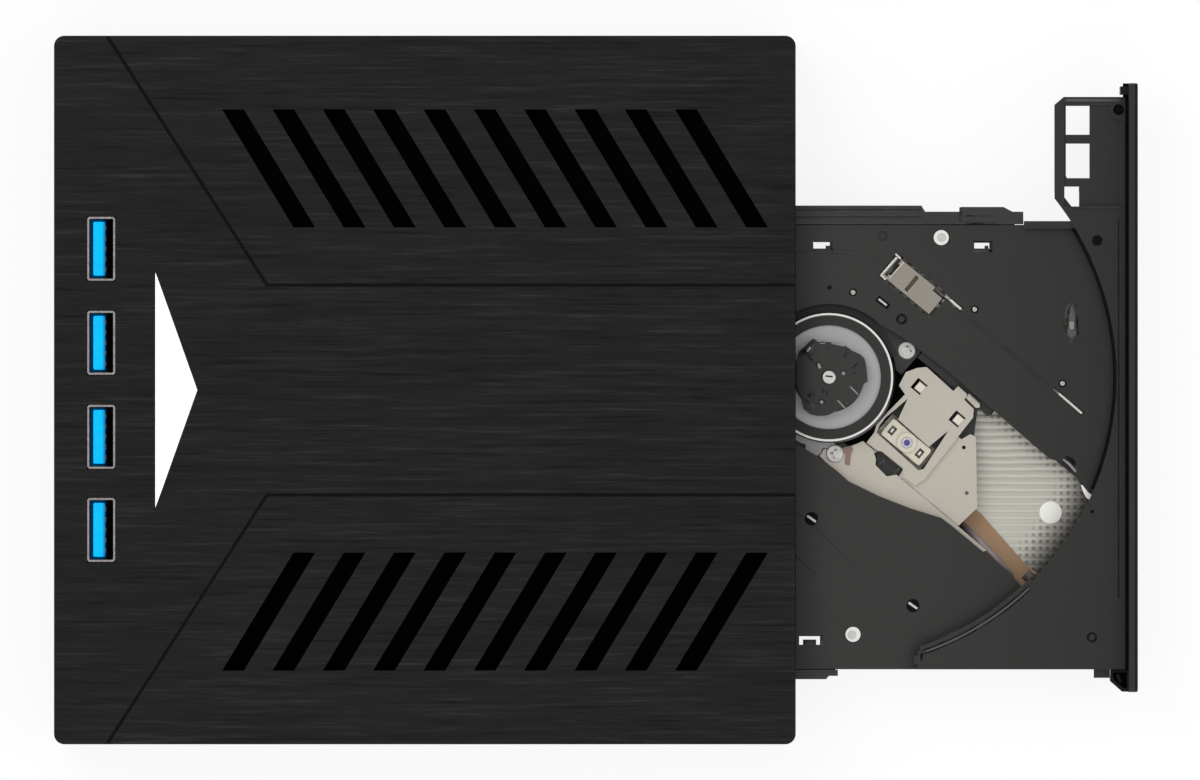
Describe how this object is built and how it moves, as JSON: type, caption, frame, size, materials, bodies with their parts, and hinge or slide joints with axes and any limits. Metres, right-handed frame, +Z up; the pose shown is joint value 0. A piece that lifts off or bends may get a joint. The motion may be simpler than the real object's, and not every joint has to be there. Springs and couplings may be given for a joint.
{
  "type": "external disc drive",
  "caption": "flat desktop disc drive with a half-open sliding disc tray, spindle and laser pickup, slanted cooling vents, upward data ports and a triangular indicator",
  "frame": {"origin": "on the desk plane, under the middle of the drive as it stands with its tray half open", "axes": "+X the way the tray comes out, +Y across the drive towards the end of the bezel with the eject button, +Z up"},
  "size_m": [0.2294, 0.15, 0.021],
  "materials": {
    "cover_plastic": "brushed streaks along the length, satin",
    "base_plastic": "fine moulded grain",
    "foot_rubber": "matte",
    "screw_steel": "plated",
    "lens_white": "milky translucent",
    "board_green": "solder mask",
    "component_black": "moulded packages",
    "port_steel": "plated sheet",
    "port_blue": "moulded insulator",
    "contact_gold": "gold plated",
    "connector_black": "moulded insulator",
    "case_steel": "black coated sheet",
    "bracket_steel": "galvanised sheet",
    "rail_plastic": "satin",
    "tray_plastic": "fine moulded grain",
    "bezel_plastic": "satin moulding",
    "shield_steel": "bright ribbed sheet",
    "frame_steel": "black coated",
    "plate_silver": "warm satin sheet",
    "rod_steel": "ground",
    "motor_steel": "plated can",
    "rotor_steel": "turned",
    "pad_rubber": "soft matte ring",
    "hub_plastic": "slick moulding",
    "damper_rubber": "soft",
    "coil_copper": "enamelled wire",
    "coil_brown": "taped coil",
    "spring_copper": "bare spring sheet",
    "ribbon_brown": "polyimide film",
    "ribbon_white": "flat cable",
    "holder_black": "moulded",
    "lens_glass": "coated",
    "latch_steel": "pressed",
    "switch_body": "moulded"
  },
  "bodies": {
    "housing": {"top_cover": "cover_plastic", "bottom_cover": "base_plastic", "rubber_feet": "foot_rubber", "case_screws": "screw_steel", "indicator_lens": "lens_white", "port_board": "board_green", "port_shell_1": "port_steel", "port_shell_2": "port_steel", "port_shell_3": "port_steel", "port_shell_4": "port_steel", "port_tongues": "port_blue", "port_contacts": "contact_gold", "inlet_shell": "port_steel", "inlet_tongue": "connector_black", "drive_plug": "connector_black", "drive_socket": "connector_black", "side_brackets": "bracket_steel", "drive_pan": "case_steel", "drive_lid": "case_steel", "drive_board": "board_green", "board_components": "component_black", "rail_guides": "rail_plastic", "latch_post": "latch_steel", "tray_ribbon": "ribbon_white"},
    "upper_rail": {"upper_rail": "rail_plastic", "rail_clip": "rail_plastic"},
    "lower_rail": {"lower_rail": "rail_plastic"},
    "tray": {"tray": "tray_plastic", "bezel": "bezel_plastic", "bottom_shield": "shield_steel", "traverse_frame": "frame_steel", "guide_rods": "rod_steel", "traverse_plate": "plate_silver", "traverse_screws": "screw_steel", "traverse_dampers": "damper_rubber", "stepper_motor": "motor_steel", "spindle_base": "motor_steel", "stator": "coil_copper", "solenoid_frame": "plate_silver", "solenoid_coil": "coil_brown", "tray_studs": "rod_steel", "contact_spring": "spring_copper", "pickup_ribbon": "ribbon_brown", "eject_switch": "switch_body"},
    "eject_button": {"eject_button": "bezel_plastic"},
    "latch_link": {"latch_link": "latch_steel"},
    "latch_hook": {"latch_hook": "latch_steel"},
    "release_lever": {"release_lever": "latch_steel"},
    "lead_screw": {"lead_screw": "rod_steel"},
    "spindle": {"spindle_rotor": "rotor_steel", "turntable_pad": "pad_rubber", "clamp_hub": "hub_plastic"},
    "claw_1": {"clamp_claw_1": "hub_plastic"},
    "claw_2": {"clamp_claw_2": "hub_plastic"},
    "claw_3": {"clamp_claw_3": "hub_plastic"},
    "pickup": {"pickup_sled": "plate_silver", "pickup_cover": "plate_silver", "pickup_plate": "plate_silver"},
    "lens_carrier": {"lens_holder": "holder_black", "lens": "lens_glass"}
  },
  "joints": [
    {"name": "tray_slide", "type": "slide", "parent": "housing", "child": "tray", "axis": [1, 0, 0], "range_m": [-0.0725, 0.0555], "deforming": ["tray_ribbon"]},
    {"name": "upper_rail_slide", "type": "slide", "parent": "housing", "child": "upper_rail", "axis": [1, 0, 0], "range_m": [-0.0552, 0.0423]},
    {"name": "lower_rail_slide", "type": "slide", "parent": "housing", "child": "lower_rail", "axis": [1, 0, 0], "range_m": [-0.0364, 0.0279]},
    {"name": "eject_press", "type": "slide", "parent": "tray", "child": "eject_button", "axis": [-1, 0, 0], "range_m": [0, 0.0004], "stiffness_N_per_m": 400},
    {"name": "latch_pull", "type": "slide", "parent": "tray", "child": "latch_link", "axis": [-0.757, 0.6534, 0], "range_m": [0, 0.0015], "stiffness_N_per_m": 200},
    {"name": "hook_turn", "type": "hinge", "parent": "tray", "child": "latch_hook", "pos_m": [0.09175, 0.0265, 0.0079], "axis": [0, 0, 1], "range_deg": [-5.6, 0]},
    {"name": "release_turn", "type": "hinge", "parent": "tray", "child": "release_lever", "pos_m": [0.10235, 0.0218, 0.0092], "axis": [0, 0, 1], "range_deg": [-4.2, 0]},
    {"name": "spindle_spin", "type": "hinge", "parent": "tray", "child": "spindle", "pos_m": [0.04935, 0.0027, 0.01], "axis": [0, 0, 1], "continuous": true},
    {"name": "pickup_slide", "type": "slide", "parent": "tray", "child": "pickup", "axis": [0.766, -0.6428, 0], "range_m": [-0.0008, 0.036]},
    {"name": "screw_turn", "type": "hinge", "parent": "tray", "child": "lead_screw", "pos_m": [0.06256, -0.02823, 0.009], "axis": [0.766, -0.6428, 0], "continuous": true},
    {"name": "lens_focus", "type": "slide", "parent": "pickup", "child": "lens_carrier", "axis": [0, 0, 1], "range_m": [-0.0004, 0.0004], "stiffness_N_per_m": 60},
    {"name": "claw_1_press", "type": "slide", "parent": "spindle", "child": "claw_1", "axis": [-0.9744, -0.225, 0], "range_m": [0, 0.0004], "stiffness_N_per_m": 500},
    {"name": "claw_2_press", "type": "slide", "parent": "spindle", "child": "claw_2", "axis": [0.682, -0.7314, 0], "range_m": [0, 0.0004], "stiffness_N_per_m": 500},
    {"name": "claw_3_press", "type": "slide", "parent": "spindle", "child": "claw_3", "axis": [0.2924, 0.9563, 0], "range_m": [0, 0.0004], "stiffness_N_per_m": 500}
  ],
  "couplings": [
    {"joint": "upper_rail_slide", "follows": "tray_slide", "ratio": 0.76},
    {"joint": "lower_rail_slide", "follows": "tray_slide", "ratio": 0.5},
    {"joint": "hook_turn", "follows": "latch_pull", "rad_per_m": -62.5},
    {"joint": "release_turn", "follows": "latch_pull", "rad_per_m": -46.5},
    {"joint": "screw_turn", "follows": "pickup_slide", "rad_per_m": 2094.4}
  ]
}
